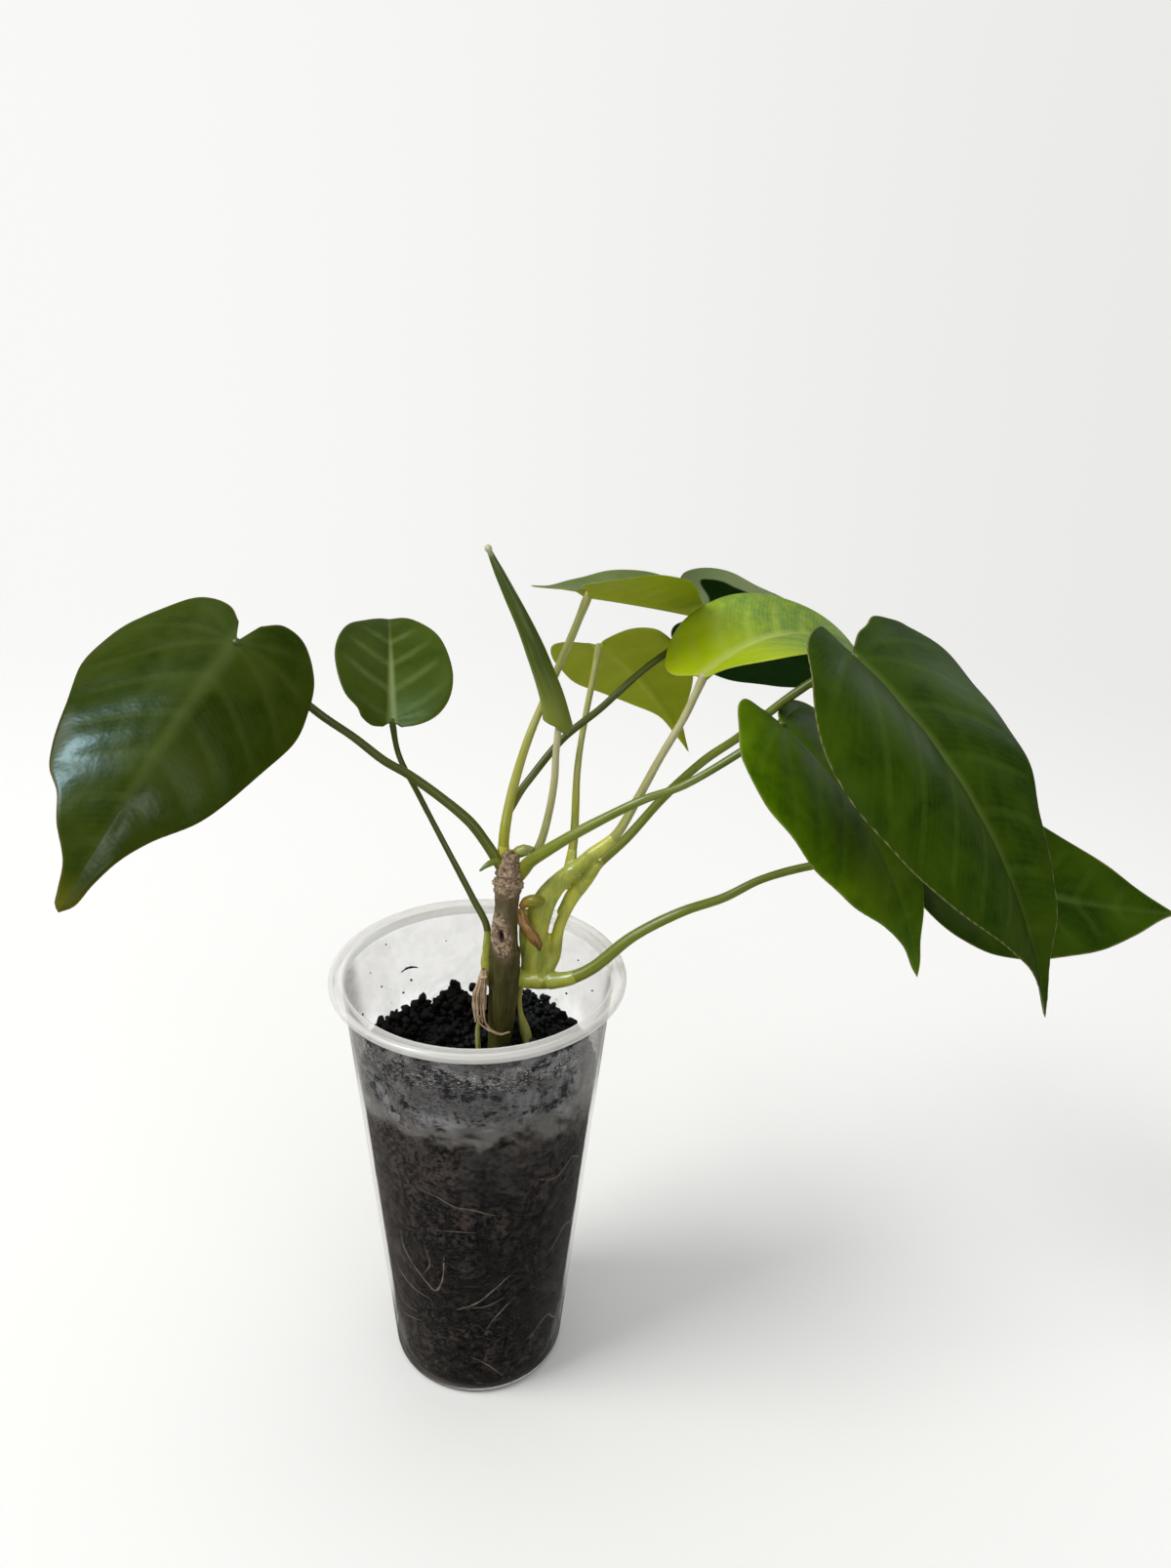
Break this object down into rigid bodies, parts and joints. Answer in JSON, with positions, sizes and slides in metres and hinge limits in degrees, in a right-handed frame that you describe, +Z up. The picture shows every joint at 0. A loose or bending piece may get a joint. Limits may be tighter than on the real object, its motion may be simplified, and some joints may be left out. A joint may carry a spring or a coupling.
{
  "type": "potted philodendron plant",
  "caption": "Small heart-leaved philodendron in a clear plastic drinking cup of dark soil, with an old corky stem, long petioles and one leaf still rolled up.",
  "frame": {"origin": "centre of the cup's flat underside, on the surface that the cup stands on", "axes": "+Z up along the cup's axis, +X to the right of the picture, towards the largest leaf, +Y to the back, away from the camera"},
  "size_m": [0.3317, 0.157, 0.2888],
  "materials": {
    "cup_plastic": "clear thin plastic, slightly cloudy, scuffed and hazy above the soil line",
    "soil": "near-black damp crumbs with a few glints",
    "corky_stem": "grey-green old stem with brown cork and a pale leaf scar",
    "green_stem": "smooth yellow-green, waxy",
    "pale_stem": "smooth pale straw green, waxy",
    "dry_sheath": "dry brown papery sheath",
    "dark_leaf": "dark green, waxy gloss, pale veins and margin",
    "olive_leaf": "yellow-green leaf lit from behind, satin",
    "bright_leaf": "bright yellow-green, waxy gloss, pale veins",
    "rolled_leaf": "young rolled leaf, smooth yellow-green, satin",
    "root": "pale tan root, damp"
  },
  "bodies": {
    "root": {"cup": "cup_plastic", "soil": "soil", "stump": "corky_stem", "crown": "green_stem", "shoot": "green_stem", "bud_left": "green_stem", "bud_top": "green_stem", "bract": "green_stem", "sprout": "green_stem", "curled_nub": "green_stem", "aerial_root": "green_stem", "dried_wrap": "dry_sheath", "dried_sheath": "dry_sheath", "leaf_1": "dark_leaf", "leaf_2": "dark_leaf", "leaf_3": "rolled_leaf", "leaf_4": "olive_leaf", "leaf_5": "dark_leaf", "leaf_6": "olive_leaf", "leaf_7": "bright_leaf", "leaf_8": "dark_leaf", "leaf_9": "dark_leaf", "leaf_10": "dark_leaf", "stalk_1": "green_stem", "stalk_2": "green_stem", "stalk_3": "pale_stem", "stalk_4": "green_stem", "stalk_5": "green_stem", "stalk_6": "green_stem", "stalk_7": "pale_stem", "stalk_8": "green_stem", "stalk_9": "green_stem", "stalk_10": "green_stem", "wall_root_1": "root", "wall_root_2": "root", "wall_root_3": "root", "wall_root_4": "root", "wall_root_5": "root"}
  },
  "joints": []
}
